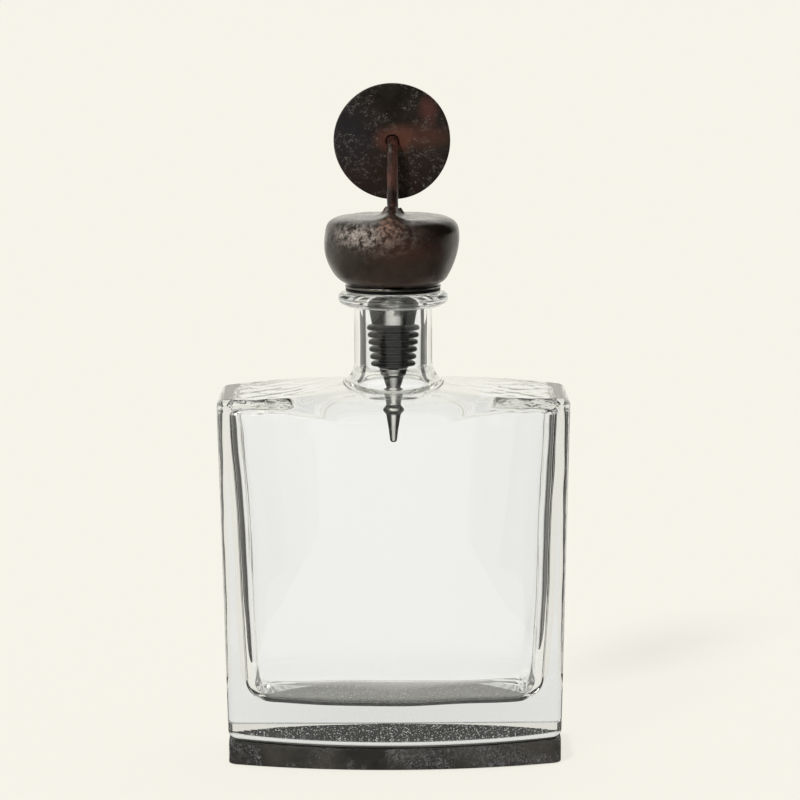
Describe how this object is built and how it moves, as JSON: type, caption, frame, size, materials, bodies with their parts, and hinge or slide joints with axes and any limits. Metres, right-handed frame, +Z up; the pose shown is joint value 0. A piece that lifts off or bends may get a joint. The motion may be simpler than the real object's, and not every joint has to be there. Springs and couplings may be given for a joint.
{
  "type": "glass decanter with a lift-out stopper",
  "caption": "Flat clear glass decanter bonded to an iron plate, with a forged knob and disc stopper on a ribbed steel plug.",
  "frame": {"origin": "centre of the underside, on the surface that the decanter stands on", "axes": "+Z up along the neck, +X along the broad width, -Y out of the bowed front"},
  "size_m": [0.1346, 0.07, 0.2601],
  "materials": {
    "glass": "clear, hand-finished, slightly wavy inside",
    "iron_plate": "matt blackened iron with faint scratches",
    "forged_knob": "hammered, waxed brown-black",
    "forged_rod": "waxed reddish-brown",
    "forged_disc": "brown-black scale with rust patches and fine scratches",
    "weld": "uneven bead, reddish-brown",
    "stainless": "polished, turned",
    "black_rubber": "smooth with a soft gloss",
    "bond": "dark adhesive bed with pale grit",
    "felt": "thin black felt"
  },
  "bodies": {
    "flask": {"base_felt": "felt", "base_plate": "iron_plate", "base_bond": "bond", "glass_body": "glass"},
    "seal": {"lip_seal": "black_rubber"},
    "stopper": {"plug_body": "stainless", "rib_sleeve": "black_rubber", "plug_tip": "stainless", "threaded_stud": "stainless", "knob": "forged_knob", "rod": "forged_rod", "rod_weld": "weld", "disc": "forged_disc", "disc_weld": "weld"}
  },
  "joints": [
    {"name": "stopper_lift", "type": "slide", "parent": "flask", "child": "seal", "axis": [0, 0, 1], "range_m": [0, 0.065]},
    {"name": "stopper_turn", "type": "hinge", "parent": "seal", "child": "stopper", "pos_m": [0, 0, 0.182], "axis": [0, 0, 1], "continuous": true}
  ]
}
